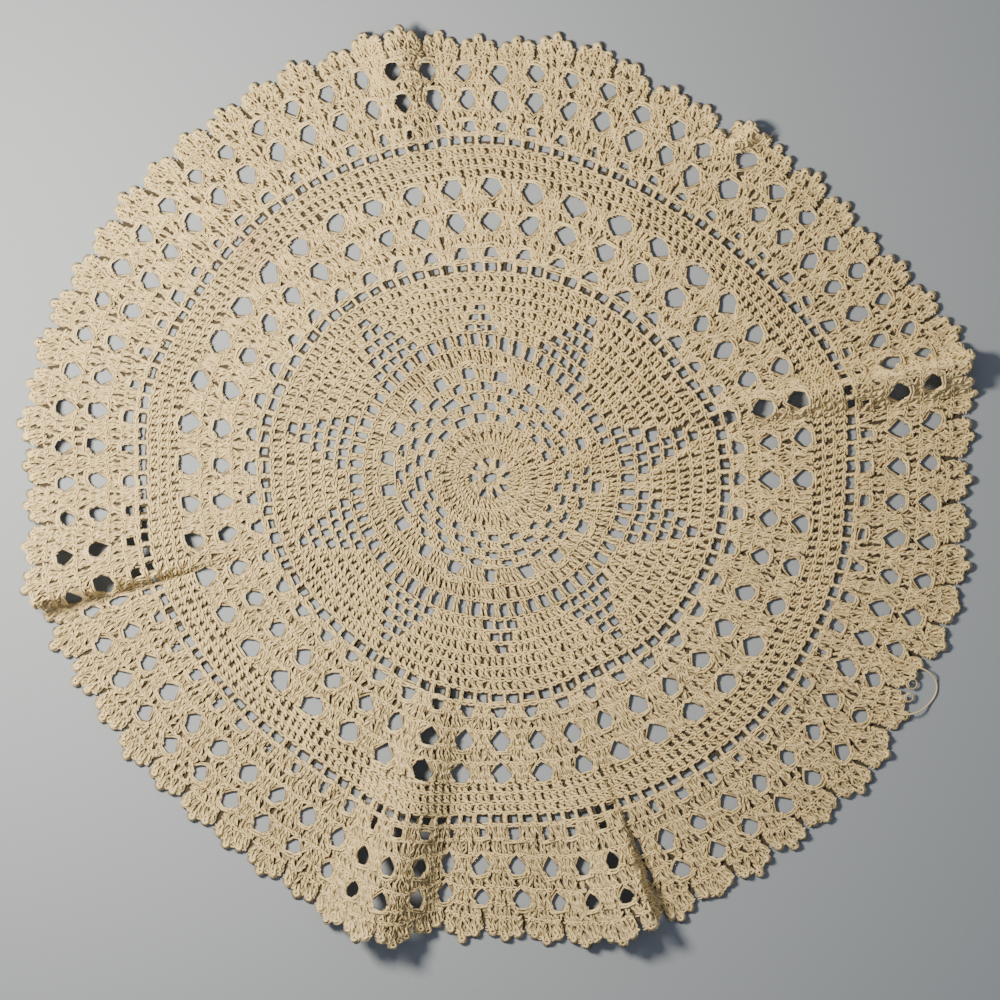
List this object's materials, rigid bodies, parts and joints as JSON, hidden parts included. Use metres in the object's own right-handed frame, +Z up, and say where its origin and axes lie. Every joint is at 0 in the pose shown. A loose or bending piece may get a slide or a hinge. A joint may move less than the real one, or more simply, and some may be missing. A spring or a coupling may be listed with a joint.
{
  "type": "crocheted lace doily",
  "caption": "Round crocheted cotton doily of openwork shells and filet rounds with a scalloped picot rim, laid flat with soft folds and one snagged loop of thread.",
  "frame": {"origin": "middle of the work on the table, under the centre ring", "axes": "+Z up from the table, +X to the right and +Y away as the doily is seen from above with its snagged loop low on the right"},
  "size_m": [0.3363, 0.3224, 0.015],
  "materials": {
    "ecru cotton": "matt, knobbly crochet",
    "loose cotton": "matt, untwisted ply"
  },
  "bodies": {
    "root": {"doily": "ecru cotton", "loose_thread": "loose cotton"}
  },
  "joints": []
}
